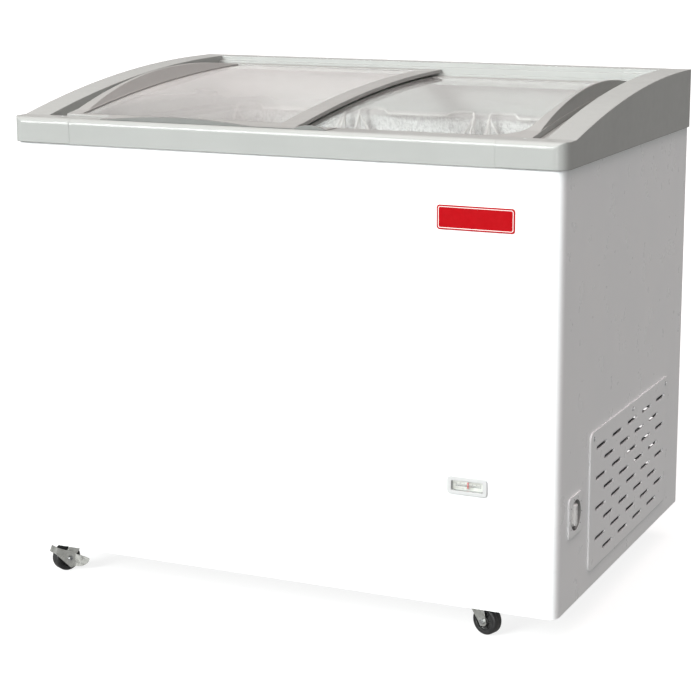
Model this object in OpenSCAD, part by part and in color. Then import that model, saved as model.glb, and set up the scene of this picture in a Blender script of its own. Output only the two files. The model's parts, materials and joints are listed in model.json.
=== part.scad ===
// Chest freezer with two curved sliding glass lids, on four swivel casters.
// Origin: centre of the outer footprint, on the floor. +X right, +Y back, +Z up.

/* [Cabinet] */
// Width of the painted steel cabinet
cabinet_w = 1018; // [1000:1:1040]
// Depth of the painted steel cabinet
cabinet_d = 723; // [718:1:730]
// Height of the cabinet, up to the lower edge of the top frame
cabinet_h = 740; // [720:1:780]
// Radius of the two upright front corners
corner_r = 18; // [12:1:20]
// Thickness of the steel and aluminium sheets
sheet_t = 1; // [0.8:0.1:1.2]
// Clear height under the cabinet, set by the casters
caster_h = 66; // [66:1:72]

/* [Top frame] */
// How far the plastic top frame stands out past the steel
overhang = 6; // [6:1:8]
// Height of the frame's front face
nose_h = 44; // [44:1:45]
// Height of the frame at its crown, near the back
crown_h = 108; // [106:1:110]
// Distance of the crown from the cabinet's front face
crown_y = 650; // [645:1:655]
// Radius of the arched top of each end cap
cap_arc_r = 2930; // [2800:10:3050]
// Width of the band along the top of each end cap
cap_w = 50; // [46:1:54]
// Length of each end cap's return along the front and the back
cap_return = 120; // [114:1:124]

/* [Lids] */
// Radius of the glass, seen from the side
lid_r = 3815; // [3800:5:3830]
// Crown height of the upper, left lid's glass above the frame's lower edge
upper_crown = 94; // [93:0.5:95]
// How far the right lid's glass lies below the left lid's
lid_drop = 11; // [11:0.5:11.5]
// Thickness of the toughened glass
glass_t = 4; // [3.5:0.5:4]
// Outer end of each lid, from the middle of the freezer
lid_outer_x = 430; // [428:1:431]
// How far the left lid's inner end passes the middle
left_overlap = 29; // [24:1:30]
// How far the right lid's inner end passes the middle
right_overlap = 10; // [8:1:12]
// Width of the bar at each lid's inner end
end_bar_w = 37; // [34:1:38]
// Width of the base of each lid's grip
grip_w = 28; // [27:1:29]
// Rise of the left grip's crest above its chord
left_grip_rise = 32; // [28:1:34]
// Rise of the right grip's crest above its chord
right_grip_rise = 36; // [34:1:38]

/* [Liner] */
// Half of the inner width of the aluminium liner
liner_half_w = 420; // [410:1:425]
// Inner face of the liner's front wall, from the cabinet's front face
liner_front_y = 66; // [64:1:68]
// Inner face of the liner's back wall
liner_back_y = 640; // [636:1:642]
// Height of the liner's floor above the cabinet's lower edge
liner_floor_z = 61; // [55:1:70]
// Left side of the step over the machine bay
step_x = 178; // [170:1:184]
// Top of the step over the machine bay
step_z = 351; // [345:1:360]

/* [Machine bay] */
// Left side of the machine bay
bay_x = 230; // [225:1:232]
// Height of the machine bay
bay_h = 300; // [290:1:300]

/* [Baskets] */
// Width of each hanging basket
basket_w = 264; // [240:1:268]
// Distance from one basket's middle to the next
basket_pitch = 275; // [273:1:278]
// Depth of each basket below its rim
basket_h = 230; // [150:5:260]

/* [Casters] */
// Radius of each caster wheel
wheel_r = 25; // [24:0.5:25]
// Width of each caster wheel
wheel_w = 21; // [18:1:21]
// Radius of each wheel's axle
axle_r = 3; // [2.5:0.5:3]
// Left casters' distance from the middle
caster_left_x = 463; // [455:1:468]
// Right casters' distance from the middle
caster_right_x = 348; // [340:1:360]
// Casters' distance from the cabinet's front or back face
caster_inset = 70; // [60:1:80]

/* [Hidden] */

arc_fn = 720;
round_fn = 72;
small_fn = 32;
gap = 0.3;
eps = 1;

// Colours
painted_white = [0.95, 0.96, 0.97];
frame_grey = [0.77, 0.79, 0.77];
zinc = [0.72, 0.73, 0.75];
copper = [0.78, 0.47, 0.32];
near_black = [0.09, 0.09, 0.1];

// Heights above the top frame's lower edge
seat_z = 12;
collar_t = 4;
rail_step_z = 26.3;
liner_top_z = cabinet_h + seat_z - collar_t;
upper_ledge_z = upper_crown - 5 - gap;
rear_step_z = 100;
lower_ledge_z = upper_crown - lid_drop - 8 - gap;
lower_crown = upper_crown - lid_drop;

// Where the end caps' returns meet the rails
rail_end_x = cabinet_w / 2 + overhang - cap_return;

// Depths from the cabinet's front face
rail_edge_y = 42;
rail_wall_y = 50;
rail_apron_y = 4;
upper_back_y = 664;
lower_back_y = 656;
rear_wall_y = 648;
upper_bar_y = 50;
lower_front_y = 43;
lower_bar_y = 77;
upper_rear_bar_y = 628;
lower_rear_bar_y = 620;

// Vent panel and dial on the right side, heights above the cabinet's lower edge
vent_y = [160, 629];
vent_z = [31, 276];
vent_t = 3;
vent_r = 13;
slot_l = 56;
slot_w = 6.5;
slot_columns = 9;
slot_rows = 4;
slot_pitch_y = 45;
slot_pitch_z = 54;
slot_first_y = 219;
slot_first_z = 82;
vent_screw_y = [177, 402, 612];
vent_screw_z = 264;
dial_y = 85;
dial_z = 157;
dial_w = 68;
dial_h = 70;
dish_r = 26;
dish_x = cabinet_w / 2 - 9;
stem_r = 3.4;

// Thermometer on the front
gauge_x = 352;
gauge_z = 210;

// Fan and compressor in the bay
fan_y = 315;
fan_z = 140;
shaft_r = 3;
comp_x = 365;
comp_y = 570;
comp_r = 78;
comp_foot_x = 80;
comp_foot_y = 62;
tray_bolt_x = [267, 330, 433, 473];
tray_bolt_y = [26, 697];
bolt_r = 4;

// Cord gland in the back panel
gland_x = 300;
gland_z = 40;
gland_r = 10;

module on_cabinet() translate([0, -cabinet_d / 2, caster_h]) children();

module on_frame() on_cabinet() translate([0, 0, cabinet_h]) children();

// Extrude an outline drawn in (Y, Z) from x0 to x1
module along_x(x0, x1) translate([x0, 0, 0]) rotate([90, 0, 90]) linear_extrude(x1 - x0) children();

// Extrude an outline drawn in (X, Z) from y0 to y1
module along_y(y0, y1) translate([0, y1, 0]) rotate([90, 0, 0]) linear_extrude(y1 - y0) children();

module box(low, high) translate(low) cube(high - low);

module rounded_rect(low, high, r) {
    translate([low[0] + r, low[1]]) square([high[0] - low[0] - 2 * r, high[1] - low[1]]);
    translate([low[0], low[1] + r]) square([high[0] - low[0], high[1] - low[1] - 2 * r]);
    for (x = [low[0] + r, high[0] - r])
        for (y = [low[1] + r, high[1] - r])
            translate([x, y]) circle(r, $fn = round_fn);
}

// Footprint of the cabinet, grown outwards, with its own front and back corner radii
module footprint(grow, front_r, back_r) {
    half = cabinet_w / 2 + grow;
    back = cabinet_d + grow;
    translate([-half, front_r - grow]) square([2 * half, back - back_r + grow - front_r]);
    translate([front_r - half, -grow]) square([2 * (half - front_r), 2 * front_r]);
    translate([back_r - half, back - 2 * back_r]) square([2 * (half - back_r), 2 * back_r]);
    for (s = [-1, 1]) {
        translate([s * (half - front_r), front_r - grow]) circle(front_r, $fn = round_fn);
        translate([s * (half - back_r), back - back_r]) circle(back_r, $fn = round_fn);
    }
}

module inner_footprint(clear) footprint(-sheet_t - clear, corner_r - sheet_t - clear, 1);

// ---------------------------------------------------------------- cabinet

module side_slot(y, z, l, w, x0, x1) {
    along_x(x0, x1) {
        translate([y - l / 2 + w / 2, z - w / 2]) square([l - w, w]);
        for (s = [-1, 1]) translate([y + s * (l - w) / 2, z]) circle(w / 2, $fn = small_fn);
    }
}

module side_hole(y, z, r, x0, x1) along_x(x0, x1) translate([y, z]) circle(r, $fn = round_fn);

module outer_wrapper() color(painted_white) on_cabinet() {
    flange = 11;
    side_x = cabinet_w / 2;
    difference() {
        union() {
            linear_extrude(cabinet_h + seat_z - 0.2) difference() {
                footprint(0, corner_r, 1);
                inner_footprint(0);
                translate([sheet_t - side_x, cabinet_d - 30]) square([2 * (side_x - sheet_t), 40]);
            }
            linear_extrude(sheet_t) difference() {
                footprint(0, corner_r, 1);
                translate([flange - side_x, flange]) square([2 * (side_x - flange), cabinet_d]);
            }
        }
        along_x(side_x - 5, side_x + 5) rounded_rect([180, 45], [606, 254], 10);
        side_hole(dial_y, dial_z, dish_r + 2, side_x - 5, side_x + 5);
        for (y = vent_screw_y) side_hole(y, vent_screw_z, 2, side_x - 5, side_x + 5);
        along_y(-5, 5) rounded_rect([gauge_x - 31, gauge_z - 11], [gauge_x + 31, gauge_z + 11], 3);
    }
}

module back_panel() color(zinc) on_cabinet() difference() {
    half = cabinet_w / 2 - sheet_t;
    box([-half, cabinet_d - sheet_t, sheet_t], [half, cabinet_d, cabinet_h + seat_z - 0.2]);
    for (column = [0, 1])
        for (row = [0:9])
            along_y(cabinet_d - 5, cabinet_d + 5)
                rounded_rect([262 + 110 * column, 70 + 18 * row], [352 + 110 * column, 76 + 18 * row], 2.9);
    translate([gland_x, cabinet_d, gland_z]) rotate([90, 0, 0])
        cylinder(r = gland_r, h = 10, center = true, $fn = round_fn);
    for (p = back_screws()) translate([p[0], cabinet_d, p[1]]) rotate([90, 0, 0])
        cylinder(r = 2, h = 10, center = true, $fn = small_fn);
}

function back_screws() = [for (x = [-480, -160, 160, 480]) for (z = [20, 720]) [x, z]];

// One bent sheet: the floor, the wall beside the machine bay and the bay's roof
module base_pan() color(zinc) difference() {
    half = cabinet_w / 2;
    on_cabinet() intersection() {
        linear_extrude(cabinet_h) inner_footprint(0);
        along_y(0, cabinet_d) difference() {
            translate([-half, sheet_t]) square([2 * half, bay_h]);
            translate([-half - eps, 2 * sheet_t]) square([half + bay_x + eps, bay_h]);
            translate([bay_x + sheet_t, 0]) square([half, bay_h]);
        }
    }
    caster_bolt_places() bolt_shank();
}

module liner_body(grow) difference() {
    translate([0, 0, liner_floor_z - grow]) linear_extrude(liner_top_z - liner_floor_z + grow)
        rounded_rect([-liner_half_w - grow, liner_front_y - grow],
            [liner_half_w + grow, liner_back_y + grow], 15 + grow);
    box([step_x + grow, 0, 0], [liner_half_w + 20, cabinet_d, step_z - grow]);
}

module inner_liner() color([0.85, 0.86, 0.87]) on_cabinet() difference() {
    liner_body(sheet_t);
    liner_body(0);
    translate([0, 0, cabinet_h]) linear_extrude(40)
        rounded_rect([-liner_half_w, liner_front_y], [liner_half_w, liner_back_y], 15);
}

// Rectangular loops of tube round the liner, joined by risers at the back
module evaporator_loops(r) {
    reach = sheet_t + 4.2;
    bend = 15 + reach;
    x = liner_half_w + reach;
    y0 = liner_front_y - reach;
    y1 = liner_back_y + reach;
    cx = x - bend;
    corners = [[cx, y1 - bend, 0], [-cx, y1 - bend, 90], [-cx, y0 + bend, 180], [cx, y0 + bend, 270]];
    for (level = [0:4]) translate([0, 0, 400 + 70 * level]) {
        for (s = [-1, 1])
            translate([s * x, y0 + bend, 0]) rotate([-90, 0, 0])
                cylinder(r = r, h = y1 - y0 - 2 * bend, $fn = small_fn);
        for (y = [y0, y1])
            translate([-cx, y, 0]) rotate([0, 90, 0]) cylinder(r = r, h = 2 * cx, $fn = small_fn);
        for (c = corners)
            translate([c[0], c[1], 0]) rotate([0, 0, c[2]]) rotate_extrude(angle = 90, $fn = round_fn)
                translate([bend, 0]) circle(r, $fn = small_fn);
    }
    for (level = [0:3])
        translate([60 * level - 90, y1, 400 + 70 * level]) cylinder(r = r, h = 70, $fn = small_fn);
}

module evaporator_tube() color(copper) on_cabinet() evaporator_loops(4);

module foam_insulation() color("khaki") difference() {
    on_cabinet() difference() {
        translate([0, 0, 2 * sheet_t]) linear_extrude(liner_top_z - 2 * sheet_t) inner_footprint(0);
        liner_body(sheet_t);
        box([bay_x, -eps, 0], [cabinet_w, cabinet_d, bay_h + sheet_t]);
        evaporator_loops(4.5);
        for (p = back_screws()) translate([p[0], cabinet_d, p[1]]) rotate([90, 0, 0])
            cylinder(r = 2, h = 16, center = true, $fn = small_fn);
    }
    caster_bolt_places() bolt_shank();
}

// Plastic frame over the foam: a flat ledge with a lip down inside the liner
module rim_collar() color([0.8, 0.79, 0.78]) on_frame() difference() {
    union() {
        translate([0, 0, seat_z - collar_t]) linear_extrude(collar_t) inner_footprint(0.2);
        translate([0, 0, 3]) linear_extrude(seat_z - 3 - 0.5)
            rounded_rect([-liner_half_w, liner_front_y], [liner_half_w, liner_back_y], 15);
    }
    linear_extrude(3 * seat_z)
        rounded_rect([2 - liner_half_w, liner_front_y + 2], [liner_half_w - 2, liner_back_y - 2], 13);
}

// ---------------------------------------------------------------- top frame

module nose_outline() {
    r = 11;
    translate([-overhang, 0]) square([overhang - 0.1, seat_z + eps]);
    translate([-overhang, seat_z]) square([rail_edge_y + overhang, nose_h - r - seat_z]);
    translate([r - overhang, seat_z]) square([rail_edge_y + overhang - r, nose_h - seat_z]);
    translate([r - overhang, nose_h - r]) circle(r, $fn = round_fn);
    translate([0, seat_z]) square([rail_wall_y, rail_step_z - seat_z]);
}

module rear_outline() {
    r = 14;
    back = cabinet_d + overhang;
    translate([cabinet_d + 0.1, 0]) square([overhang - 0.1, seat_z + eps]);
    translate([rear_wall_y, seat_z]) square([back - rear_wall_y, lower_ledge_z - seat_z]);
    translate([lower_back_y + gap, seat_z]) square([back - lower_back_y - gap, upper_ledge_z - seat_z]);
    translate([upper_back_y + 0.5, seat_z]) square([back - upper_back_y - 0.5, crown_h - r - seat_z]);
    translate([upper_back_y + 0.5, seat_z]) square([20, rear_step_z - seat_z]);
    translate([upper_back_y + 12, seat_z]) square([back - r - upper_back_y - 12, crown_h - seat_z]);
    translate([back - r, crown_h - r]) circle(r, $fn = round_fn);
}

module front_rail() color(frame_grey) on_frame() along_x(-rail_end_x, rail_end_x) difference() {
    nose_outline();
    translate([3, 18]) square([34, 20]);
}

module rear_rail() color(frame_grey) on_frame() difference() {
    along_x(-rail_end_x, rail_end_x) difference() {
        rear_outline();
        translate([672, 20]) square([43, 73]);
        for (y = [696, 707]) translate([y, crown_h - 2]) square([3, 3]);
    }
    box([0, 684, crown_h - 5], [112, 690, crown_h + eps]);
}

module cap_top(drop) {
    r = 16;
    back = cabinet_d + overhang - drop;
    intersection() {
        translate([crown_y, crown_h - cap_arc_r]) circle(cap_arc_r - drop, $fn = arc_fn);
        translate([0, -eps]) square([crown_y, 2 * crown_h]);
    }
    translate([crown_y - 20, -eps]) square([back - crown_y + 20, crown_h - drop - r + eps]);
    translate([crown_y - 20, -eps]) square([back - r - crown_y + 20, crown_h - drop + eps]);
    translate([back - r, crown_h - drop - r]) circle(r, $fn = round_fn);
}

// The right cap; the left one is its mirror image
module end_cap() {
    outer = cabinet_w / 2 + overhang;
    difference() {
        intersection() {
            union() {
                along_x(outer - cap_w, outer) intersection() {
                    union() {
                        cap_top(0);
                        nose_outline();
                    }
                    translate([-overhang, 0]) square([cabinet_d + 2 * overhang, 2 * crown_h]);
                }
                along_x(outer - cap_return, outer - cap_w + eps) {
                    nose_outline();
                    rear_outline();
                }
                along_x(lid_outer_x - 8, outer - cap_w + eps)
                    lid_arc(lower_crown, -8 - gap, 12, rail_wall_y - 5, lower_back_y - 1);
            }
            linear_extrude(2 * crown_h) footprint(overhang, corner_r + overhang, 16);
        }
        translate([0, 0, -eps]) linear_extrude(seat_z + eps) footprint(0.1, corner_r + 0.1, 1);
        along_x(outer - cap_w + 5, outer - overhang) intersection() {
            cap_top(5);
            translate([44, 0]) square([660, 2 * crown_h]);
        }
        translate([432, 30, nose_h - 8]) cylinder(r = 1.5, h = 20, $fn = small_fn);
        translate([432, 30, nose_h - 1.6]) cylinder(r1 = 1.5, r2 = 3.1, h = 1.6, $fn = small_fn);
    }
}

module right_end_cap() color(frame_grey) on_frame() end_cap();

module left_end_cap() color(frame_grey) on_frame() mirror([1, 0, 0]) end_cap();

// Identical small screws: three hold the vent panel, two the end caps, eight the back panel
module panel_screws() color(zinc) {
    on_cabinet() {
        for (y = vent_screw_y)
            translate([cabinet_w / 2 + vent_t, y, vent_screw_z]) rotate([0, 90, 0]) small_screw();
        for (p = back_screws()) translate([p[0], cabinet_d, p[1]]) rotate([-90, 0, 0]) small_screw();
    }
    on_frame() for (s = [-1, 1]) translate([432 * s, 30, nose_h]) {
        translate([0, 0, -8]) cylinder(r = 1.5, h = 7, $fn = small_fn);
        translate([0, 0, -1.6]) cylinder(r1 = 1.5, r2 = 3.1, h = 1.6, $fn = small_fn);
    }
}

module small_screw() {
    translate([0, 0, -8]) cylinder(r = 2, h = 8, $fn = small_fn);
    cylinder(r1 = 4.2, r2 = 3, h = 1.8, $fn = small_fn);
}

// ---------------------------------------------------------------- side panel and dial

module vent_panel() color(painted_white) on_cabinet() difference() {
    x = cabinet_w / 2;
    along_x(x, x + vent_t) rounded_rect([vent_y[0], vent_z[0]], [vent_y[1], vent_z[1]], vent_r);
    for (column = [0:slot_columns - 1])
        for (row = [0:slot_rows - 1])
            side_slot(slot_first_y + slot_pitch_y * column,
                slot_first_z + slot_pitch_z * row - slot_pitch_z / 2 * (column % 2),
                slot_l, slot_w, x - eps, x + vent_t + eps);
    for (y = vent_screw_y) side_hole(y, vent_screw_z, 2, x - eps, x + vent_t + eps);
}

module dial_plate() color("whitesmoke") on_cabinet() difference() {
    x = cabinet_w / 2;
    union() {
        along_x(x, x + 3) rounded_rect([dial_y - dial_w / 2, dial_z - dial_h / 2],
            [dial_y + dial_w / 2, dial_z + dial_h / 2], 6);
        side_hole(dial_y, dial_z, dish_r + 1.5, dish_x, x + eps);
    }
    side_hole(dial_y, dial_z, dish_r, dish_x + 1.5, x + 5);
    side_hole(dial_y, dial_z, stem_r + 0.1, dish_x - eps, x);
}

module thermostat_body() color("dimgray") on_cabinet() difference() {
    box([dish_x - 32, dial_y - 25, dial_z - 26], [dish_x, dial_y + 25, dial_z + 26]);
    side_hole(dial_y, dial_z, stem_r + 0.1, dish_x - 40, dish_x + eps);
}

module thermostat_knob() color("white") on_cabinet() {
    side_hole(dial_y, dial_z, stem_r, dish_x - 14, dish_x + 4);
    side_hole(dial_y, dial_z, 22, dish_x + 3, dish_x + 7);
    side_hole(dial_y, dial_z, 19, dish_x + 6, dish_x + 9);
    along_x(dish_x + 8, dish_x + 13.5)
        rounded_rect([dial_y - 5, dial_z - 19], [dial_y + 5, dial_z + 19], 4);
}

// ---------------------------------------------------------------- thermometer and badge

module front_plate(w, h, r, y0, y1)
    along_y(y0, y1) rounded_rect([gauge_x - w / 2, gauge_z - h / 2], [gauge_x + w / 2, gauge_z + h / 2], r);

module thermometer_bezel() color("white") on_cabinet() difference() {
    union() {
        front_plate(70, 30, 6, -3, 0);
        front_plate(61.6, 21.6, 3, -1, 8);
    }
    front_plate(56, 17, 2, -5, 10);
}

module thermometer_scale() color("ivory") on_cabinet() front_plate(56, 17, 2, 5, 6);

module thermometer_lens() color([0.9, 0.95, 1, 0.4]) on_cabinet() front_plate(56, 17, 2, -2, -1);

module thermometer_pointer() color("red") on_cabinet()
    box([gauge_x - 1, 2, gauge_z - 5], [gauge_x + 1, 2.8, gauge_z + 6]);

module front_badge() color([0.8, 0.08, 0.11]) on_cabinet()
    along_y(-1.2, 0) rounded_rect([295, 635], [429, 675], 5);

// ---------------------------------------------------------------- machine bay

module tray_bolt_places() for (x = tray_bolt_x) for (y = tray_bolt_y) translate([x, y, 0]) children();

module caster_bolt_places()
    for (front = [true, false]) for (left = [true, false]) for (sx = [-1, 1]) for (sy = [-1, 1])
        caster_frame(front, left, 0) translate([25 * sx, 23 * sy, caster_h + sheet_t]) children();

module bolt_shank() translate([0, 0, -10]) cylinder(r = bolt_r, h = 20, $fn = small_fn);

// Domed head, with its seat at z = 0
module bolt_head() {
    translate([0, 0, -5]) cylinder(r1 = 4.5, r2 = 6.5, h = 2.5, $fn = small_fn);
    translate([0, 0, -2.5]) cylinder(r = 6.5, h = 2.5, $fn = small_fn);
}

module foot_places()
    for (sx = [-1, 1]) for (sy = [-1, 1])
        translate([comp_x + sx * comp_foot_x, comp_y + sy * comp_foot_y, 0]) children();

module compressor_tray() color(zinc) difference() {
    on_cabinet() difference() {
        intersection() {
            translate([0, 0, sheet_t]) linear_extrude(2) inner_footprint(0);
            box([bay_x + sheet_t, 0, 0], [cabinet_w, cabinet_d, 10]);
        }
        tray_bolt_places() bolt_shank();
        foot_places() bolt_shank();
    }
    caster_bolt_places() bolt_shank();
}

module compressor_grommets() color(near_black) on_cabinet() foot_places() difference() {
    translate([0, 0, sheet_t + 2]) cylinder(r = 12, h = 22, $fn = small_fn);
    cylinder(r = bolt_r, h = 60, $fn = small_fn);
}

// Domed bolts of one thread: eight hold the tray, four the compressor, sixteen the casters
module mounting_bolts() color([0.2, 0.2, 0.21]) {
    on_cabinet() {
        tray_bolt_places() translate([0, 0, sheet_t]) {
            bolt_head();
            cylinder(r = bolt_r, h = 8, $fn = small_fn);
        }
        foot_places() translate([0, 0, sheet_t]) {
            bolt_head();
            cylinder(r = bolt_r, h = 32, $fn = small_fn);
        }
    }
    caster_bolt_places() {
        translate([0, 0, -plate_t]) bolt_head();
        translate([0, 0, -plate_t]) cylinder(r = bolt_r, h = plate_t + 9, $fn = small_fn);
    }
}

module compressor() color(near_black) on_cabinet() {
    translate([comp_x, comp_y, 0]) difference() {
        union() {
            translate([0, 0, 28]) rotate_extrude($fn = round_fn) polygon([
                [0, 0], [comp_r - 14, 0],
                for (a = [-80:20:0]) [comp_r - 12 + 12 * cos(a), 12 + 12 * sin(a)],
                [comp_r, 84], [comp_r + 3, 86], [comp_r + 3, 92], [comp_r, 94],
                for (a = [10:10:90]) [comp_r * cos(a), 124 + 56 * sin(a)], [0, 180]
            ]);
            translate([-comp_foot_x - 14, -comp_foot_y - 12, 25])
                cube([2 * comp_foot_x + 28, 2 * comp_foot_y + 24, 3.5]);
        }
        for (sx = [-1, 1]) for (sy = [-1, 1])
            translate([sx * comp_foot_x, sy * comp_foot_y, 0]) cylinder(r = bolt_r, h = 60, $fn = small_fn);
    }
}

module starter_box() color("dimgray") on_cabinet() difference() {
    box([comp_x - comp_r - 34, comp_y - 26, 70], [comp_x - comp_r + 12, comp_y + 26, 108]);
    translate([comp_x, comp_y, 0]) cylinder(r = comp_r + 0.2, h = 300, $fn = round_fn);
}

module condenser() color([0.55, 0.57, 0.6]) on_cabinet() {
    for (i = [0:17]) box([458, fan_y - 112 + 13 * i, 30], [494, fan_y - 111 + 13 * i, 250]);
    for (x = [467, 485]) for (i = [0:5])
        translate([x, fan_y - 122, 50 + 36 * i]) rotate([-90, 0, 0])
            cylinder(r = 4, h = 244, $fn = small_fn);
    for (i = [0:5]) for (y = [fan_y - 122, fan_y + 122])
        translate([476, y, 50 + 36 * i]) rotate([y > fan_y ? 0 : 180, 0, 0])
            rotate_extrude(angle = 180, $fn = round_fn) translate([9, 0]) circle(4, $fn = small_fn);
}

module fan_bracket() color(zinc) on_cabinet() difference() {
    union() {
        box([440, fan_y - 105, 5], [442, fan_y + 105, 250]);
        box([378, fan_y - 40, 3], [442, fan_y + 40, 5]);
        box([378, fan_y - 40, 3], [380, fan_y + 40, fan_z + 44]);
    }
    side_hole(fan_y, fan_z, 90, 430, 450);
    side_hole(fan_y, fan_z, 12, 370, 385);
}

module fan_motor() color("gray") on_cabinet() {
    side_hole(fan_y, fan_z, 36, 336, 378);
    side_hole(fan_y, fan_z, 9, 376, 386);
    side_hole(fan_y, fan_z, shaft_r, 384, 424);
}

module fan_blade() color("lightgray") on_cabinet() difference() {
    union() {
        side_hole(fan_y, fan_z, 16, 392, 420);
        for (a = [0:72:288]) translate([406, fan_y, fan_z]) rotate([a, 0, 0]) rotate([0, 0, 35])
            translate([-1.2, -17, 12]) cube([2.4, 34, 64]);
    }
    side_hole(fan_y, fan_z, shaft_r + 0.05, 380, 430);
}

module filter_drier() color(copper) on_cabinet() translate([252, 300, 60]) {
    cylinder(r = 10, h = 80, $fn = small_fn);
    translate([0, 0, 80]) cylinder(r1 = 10, r2 = 4, h = 12, $fn = small_fn);
    translate([0, 0, -12]) cylinder(r1 = 4, r2 = 10, h = 12, $fn = small_fn);
}

// A run of tube through points, with a ball at each bend
module pipe(points, r) for (i = [0:len(points) - 2]) {
    a = points[i];
    d = points[i + 1] - a;
    l = norm(d);
    translate(a) rotate([0, acos(d[2] / l), atan2(d[1], d[0])]) cylinder(r = r, h = l, $fn = small_fn);
    if (i > 0) translate(a) sphere(r + 0.5, $fn = small_fn);
}

module refrigerant_pipes() color(copper) on_cabinet() {
    // Hot gas, from the compressor up and over to the condenser
    pipe([[comp_x + 40, comp_y - 64, 130], [comp_x + 40, comp_y - 96, 130], [476, comp_y - 96, 230],
        [476, fan_y + 130, 230]], 3);
    // Liquid, from the condenser to the filter drier
    pipe([[476, fan_y - 130, 50], [476, 160, 50], [252, 160, 30], [252, 300, 30], [252, 300, 50]], 3);
    // Thin capillary and suction line, up through the bay's roof line
    pipe([[252, 300, 150], [252, 300, 280], [252, 420, 280]], 2);
    pipe([[comp_x - 40, comp_y - 64, 130], [comp_x - 40, comp_y - 90, 130], [comp_x - 40, comp_y - 90, 280],
        [280, 420, 280]], 4);
}

module cord_gland() color(near_black) on_cabinet()
    translate([gland_x, cabinet_d, gland_z]) rotate([90, 0, 0]) difference() {
        union() {
            translate([0, 0, -4]) cylinder(r = 14, h = 4, $fn = round_fn);
            translate([0, 0, -1]) cylinder(r = gland_r, h = 12, $fn = round_fn);
        }
        cylinder(r = 4, h = 60, center = true, $fn = round_fn);
    }

// ---------------------------------------------------------------- lids

// Side outline of a curved sheet, from above to below the glass's top face
module lid_arc(crown, above, below, y0, y1) intersection() {
    difference() {
        translate([crown_y, crown - lid_r]) circle(lid_r + above, $fn = arc_fn);
        translate([crown_y, crown - lid_r]) circle(lid_r - below, $fn = arc_fn);
    }
    translate([y0, 0]) square([y1 - y0, 2 * crown_h]);
}

module left_glass_body()
    along_x(12 - lid_outer_x, left_overlap - 12) lid_arc(upper_crown, 0, glass_t, 44.5, 652);

module right_glass_body()
    along_x(12 - right_overlap, lid_outer_x - 12) lid_arc(lower_crown, 0, glass_t, 57, 642);

// The crescent between a lid's face and a rounder arc over the chord from y0 to y1
function lid_z(crown, y) = crown - pow(crown_y - y, 2) / (2 * lid_r);

module crescent(crown, y0, y1, rise) {
    z0 = lid_z(crown, y0);
    z1 = lid_z(crown, y1);
    chord = norm([y1 - y0, z1 - z0]);
    r = chord * chord / (8 * rise) + rise / 2;
    along = [(y1 - y0) / chord, (z1 - z0) / chord];
    centre = [(y0 + y1) / 2 + along[1] * (r - rise), (z0 + z1) / 2 - along[0] * (r - rise)];
    difference() {
        translate(centre) circle(r, $fn = arc_fn);
        translate([crown_y, crown - lid_r]) circle(lid_r, $fn = arc_fn);
    }
}

// The ramp on a grip's inner side, swept along the glass: crest high at the outer edge
module grip_ramp(crown, side, crest) {
    x_outer = lid_outer_x - 1;
    x_crest = lid_outer_x - 4;
    x_foot = lid_outer_x - grip_w + 1.5;
    translate([0, crown_y, crown - lid_r]) rotate([0, 90, 0]) rotate([0, 0, 178])
        rotate_extrude(angle = 12, $fn = arc_fn)
            polygon([[lid_r - 1, side * x_outer], [lid_r + crest, side * x_outer],
                [lid_r + crest, side * x_crest], [lid_r + 1, side * x_foot], [lid_r - 1, side * x_foot]]);
}

// A low arched lip, drawn in (X, Z), over the chord from x0 to x1
module lip(x0, x1, rise, z) {
    r = pow(x1 - x0, 2) / (8 * rise) + rise / 2;
    intersection() {
        translate([(x0 + x1) / 2, z + rise - r]) circle(r, $fn = arc_fn);
        translate([x0 - eps, z]) square([x1 - x0 + 2 * eps, 2 * rise]);
    }
}

module left_lid_glass() color([0.8, 0.88, 0.87, 0.35]) on_frame() left_glass_body();

// An arched bar along the glass, with a thin apron over the rail and two finger lips on it
module left_lid_front_bar() color(frame_grey) on_frame() difference() {
    union() {
        along_x(-lid_outer_x, left_overlap) lid_arc(upper_crown, 2, 5, rail_edge_y + 0.6, upper_bar_y);
        along_x(-338, 96)
            translate([rail_apron_y, nose_h + gap]) square([rail_edge_y + 1 - rail_apron_y, 1.1]);
        along_x(-338, left_overlap)
            polygon([[rail_edge_y - 14, nose_h + gap], [rail_edge_y - 14, nose_h + 1.4],
                [rail_edge_y + 1, nose_h + 4.2], [rail_edge_y + 1, nose_h + gap]]);
        along_y(rail_apron_y, rail_apron_y + 5) lip(-334, -40, 9, nose_h + gap);
        along_y(rail_apron_y, rail_apron_y + 5) lip(34, 94, 7, nose_h + gap);
    }
    left_glass_body();
}

module left_lid_rear_bar() color(frame_grey) on_frame() difference() {
    along_x(-lid_outer_x, left_overlap) lid_arc(upper_crown, 2, 5, upper_rear_bar_y, upper_back_y);
    left_glass_body();
}

module left_lid_end_bar() color(frame_grey) on_frame() difference() {
    along_x(left_overlap - end_bar_w, left_overlap)
        lid_arc(upper_crown, 1.6, 5, upper_bar_y, upper_rear_bar_y);
    left_glass_body();
}

module left_lid_grip() color(frame_grey) on_frame() difference() {
    union() {
        along_x(-lid_outer_x, grip_w - lid_outer_x)
            lid_arc(upper_crown, 2, 5, upper_bar_y, upper_rear_bar_y);
        intersection() {
            along_x(2 - lid_outer_x, grip_w - 2 - lid_outer_x) intersection() {
                crescent(upper_crown, 60, 640, left_grip_rise);
                translate([upper_bar_y, 0]) square([upper_rear_bar_y - upper_bar_y, 2 * crown_h]);
            }
            grip_ramp(upper_crown, -1, left_grip_rise - 8);
        }
    }
    left_glass_body();
}

module right_lid_glass() color([0.8, 0.88, 0.87, 0.35]) on_frame() right_glass_body();

module right_lid_front_bar() color(frame_grey) on_frame() difference() {
    along_x(-right_overlap, lid_outer_x) lid_arc(lower_crown, 1.4, 8, lower_front_y, lower_bar_y);
    right_glass_body();
}

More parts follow.
